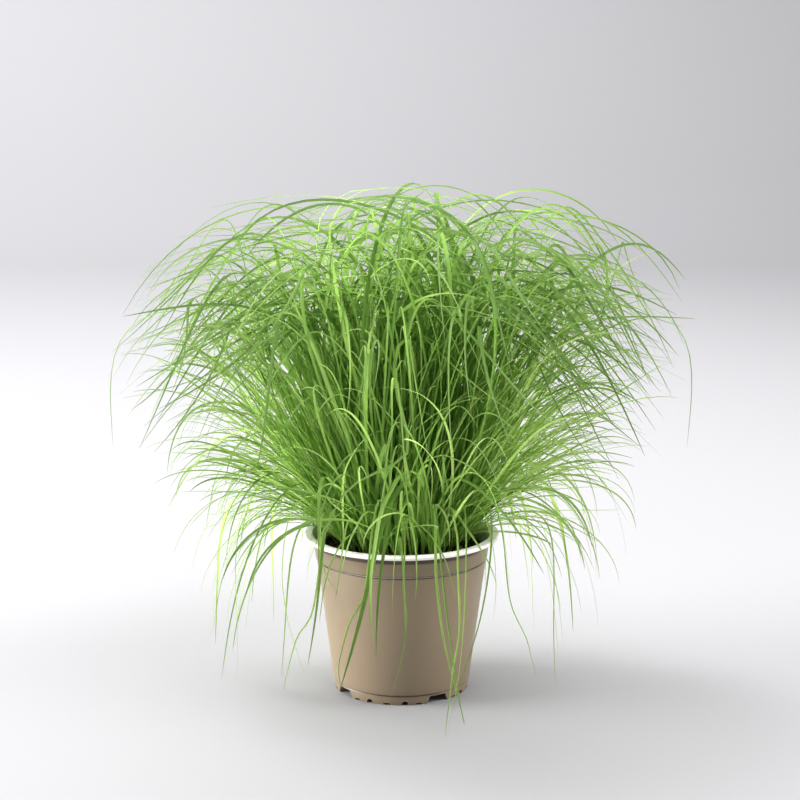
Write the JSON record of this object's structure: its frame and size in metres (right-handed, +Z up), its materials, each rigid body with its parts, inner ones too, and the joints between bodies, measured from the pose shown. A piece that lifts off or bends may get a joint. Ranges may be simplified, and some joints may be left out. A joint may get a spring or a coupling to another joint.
{
  "type": "potted cat grass",
  "caption": "Round tapered nursery pot with a rolled lip and a notched foot, filled with soil and a wide fountain of fine arching grass.",
  "frame": {"origin": "centre of the pot's foot, on the surface that it stands on", "axes": "+Z up along the pot's axis, +X to the right as seen from the front, the front faces -Y"},
  "size_m": [0.3569, 0.3512, 0.3104],
  "materials": {
    "pot_plastic": "satin injection-moulded polypropylene, taupe outside, white lip and inside",
    "potting_soil": "moist dark brown peat-based potting mix, crumbly",
    "grass_leaf": "fresh mid-green grass leaf with a soft satin sheen, paler at the base"
  },
  "bodies": {
    "root": {"pot": "pot_plastic", "soil": "potting_soil", "shoot_01": "grass_leaf", "shoot_02": "grass_leaf", "shoot_03": "grass_leaf", "shoot_04": "grass_leaf", "shoot_05": "grass_leaf", "shoot_06": "grass_leaf", "shoot_07": "grass_leaf", "shoot_08": "grass_leaf", "shoot_09": "grass_leaf", "shoot_10": "grass_leaf", "shoot_11": "grass_leaf", "shoot_12": "grass_leaf", "shoot_13": "grass_leaf", "shoot_14": "grass_leaf", "shoot_15": "grass_leaf", "shoot_16": "grass_leaf", "shoot_17": "grass_leaf", "shoot_18": "grass_leaf", "shoot_19": "grass_leaf", "shoot_20": "grass_leaf", "shoot_21": "grass_leaf", "shoot_22": "grass_leaf", "shoot_23": "grass_leaf", "shoot_24": "grass_leaf", "shoot_25": "grass_leaf", "shoot_26": "grass_leaf", "shoot_27": "grass_leaf", "shoot_28": "grass_leaf", "shoot_29": "grass_leaf", "shoot_30": "grass_leaf", "shoot_31": "grass_leaf", "shoot_32": "grass_leaf", "shoot_33": "grass_leaf", "shoot_34": "grass_leaf", "shoot_35": "grass_leaf", "shoot_36": "grass_leaf", "shoot_37": "grass_leaf", "shoot_38": "grass_leaf"}
  },
  "joints": []
}
